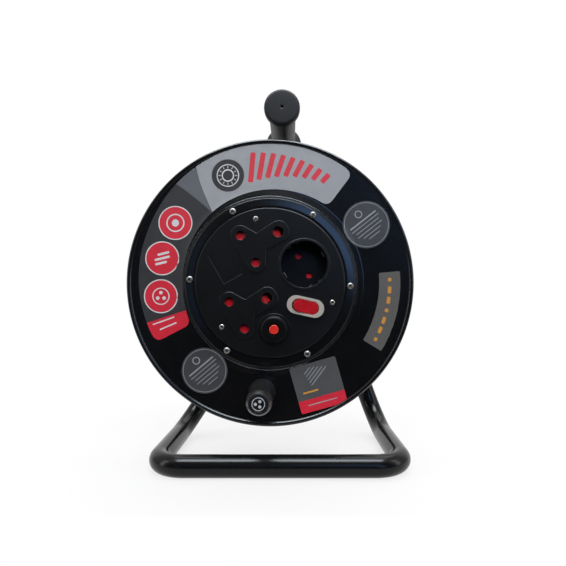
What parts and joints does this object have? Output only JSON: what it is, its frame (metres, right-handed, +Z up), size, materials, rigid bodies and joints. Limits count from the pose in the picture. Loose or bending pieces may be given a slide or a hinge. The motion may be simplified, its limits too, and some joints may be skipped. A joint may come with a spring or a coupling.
{
  "type": "extension cord reel",
  "caption": "Steel cord reel on a bent tube stand: a flanged drum with plug sockets, a rocker switch and a reset button turns on its axle by a knob.",
  "frame": {"origin": "on the floor under the middle of the whole reel's bounding box", "axes": "+Z up, the sockets and the knob face -Y, +X to the viewer's right when looking at the sockets"},
  "size_m": [0.2422, 0.2053, 0.3279],
  "materials": {
    "stand_tube": "glossy black paint",
    "axle_plate": "glossy black paint",
    "axle": "zinc plated",
    "saddle_washer": "zinc plated",
    "axle_nut": "zinc plated",
    "rear_thrust_washer": "zinc plated",
    "front_thrust_washer": "zinc plated",
    "axle_circlip": "blackened spring steel",
    "grip": "satin black rubber",
    "front_flange": "glossy black paint",
    "rear_flange": "glossy black paint",
    "drum_core": "black moulded plastic",
    "cable_inlet": "black rubber",
    "hub": "black bearing plastic",
    "hub_rivets": "zinc plated",
    "front_flange_screws": "bright plated",
    "rear_flange_screws": "bright plated",
    "knob": "satin black plastic",
    "knob_cap": "plain black disc",
    "knob_spindle": "zinc plated",
    "knob_nut": "zinc plated",
    "socket_face": "dark grey moulded plastic",
    "socket_housing": "black moulded plastic",
    "face_screws": "bright plated",
    "contact_carrier": "black insulating plastic",
    "live_sleeves": "plain brass",
    "neutral_sleeves": "plain brass",
    "earth_sleeves": "plain brass",
    "live_bus": "plain brass",
    "neutral_bus": "plain brass",
    "earth_bus": "plain brass",
    "two_pin_carrier": "black insulating plastic",
    "two_pin_sleeves": "plain brass",
    "earth_springs": "nickel plated spring strip",
    "switch_housing": "cream plastic",
    "switch_terminals": "plain brass",
    "breaker_body": "black plastic",
    "breaker_collar": "black plastic",
    "breaker_terminals": "plain brass",
    "rocker": "red plastic",
    "reset_button": "red plastic",
    "upper_shutter": "red plastic",
    "lower_shutter": "red plastic",
    "two_pin_shutter": "red plastic",
    "upper_shutter_spring": "spring steel",
    "lower_shutter_spring": "spring steel"
  },
  "bodies": {
    "stand": {"stand_tube": "stand_tube", "axle_plate": "axle_plate", "axle": "axle", "saddle_washer": "saddle_washer", "axle_nut": "axle_nut", "rear_thrust_washer": "rear_thrust_washer", "front_thrust_washer": "front_thrust_washer", "axle_circlip": "axle_circlip", "grip": "grip"},
    "drum": {"front_flange": "front_flange", "rear_flange": "rear_flange", "drum_core": "drum_core", "cable_inlet": "cable_inlet", "hub": "hub", "hub_rivets": "hub_rivets", "front_flange_screws": "front_flange_screws", "rear_flange_screws": "rear_flange_screws", "knob_spindle": "knob_spindle", "knob_nut": "knob_nut", "socket_face": "socket_face", "socket_housing": "socket_housing", "face_screws": "face_screws", "contact_carrier": "contact_carrier", "live_sleeves": "live_sleeves", "neutral_sleeves": "neutral_sleeves", "earth_sleeves": "earth_sleeves", "live_bus": "live_bus", "neutral_bus": "neutral_bus", "earth_bus": "earth_bus", "two_pin_carrier": "two_pin_carrier", "two_pin_sleeves": "two_pin_sleeves", "earth_springs": "earth_springs", "switch_housing": "switch_housing", "switch_terminals": "switch_terminals", "breaker_body": "breaker_body", "breaker_collar": "breaker_collar", "breaker_terminals": "breaker_terminals", "upper_shutter_spring": "upper_shutter_spring", "lower_shutter_spring": "lower_shutter_spring"},
    "knob": {"knob": "knob", "knob_cap": "knob_cap"},
    "rocker": {"rocker": "rocker"},
    "reset_button": {"reset_button": "reset_button"},
    "upper_shutter": {"upper_shutter": "upper_shutter"},
    "lower_shutter": {"lower_shutter": "lower_shutter"},
    "two_pin_shutter": {"two_pin_shutter": "two_pin_shutter"}
  },
  "joints": [
    {"name": "drum_spin", "type": "hinge", "parent": "stand", "child": "drum", "pos_m": [-0.00115, 0, 0.162], "axis": [0, 1, 0], "continuous": true},
    {"name": "knob_spin", "type": "hinge", "parent": "drum", "child": "knob", "pos_m": [-0.00785, -0.05575, 0.0708], "axis": [0, 1, 0], "continuous": true},
    {"name": "rocker_tilt", "type": "hinge", "parent": "drum", "child": "rocker", "pos_m": [0.02815, -0.06025, 0.1423], "axis": [-0.2164, 0, -0.9763], "range_deg": [0, 18]},
    {"name": "reset_pop", "type": "slide", "parent": "drum", "child": "reset_button", "axis": [0, -1, 0], "range_m": [0, 0.003]},
    {"name": "upper_shutter_slide", "type": "slide", "parent": "drum", "child": "upper_shutter", "axis": [-0.8695, 0, -0.4939], "range_m": [0, 0.009], "stiffness_N_per_m": 60, "springref_m": -0.005, "deforming": ["upper_shutter_spring"]},
    {"name": "lower_shutter_slide", "type": "slide", "parent": "drum", "child": "lower_shutter", "axis": [-0.8695, 0, -0.4939], "range_m": [0, 0.009], "stiffness_N_per_m": 60, "springref_m": -0.005, "deforming": ["lower_shutter_spring"]},
    {"name": "two_pin_shutter_turn", "type": "hinge", "parent": "drum", "child": "two_pin_shutter", "pos_m": [0.02715, -0.04075, 0.1773], "axis": [0, 1, 0], "range_deg": [0, 45], "stiffness_Nm_per_rad": 0.002, "springref_deg": -17.19}
  ]
}
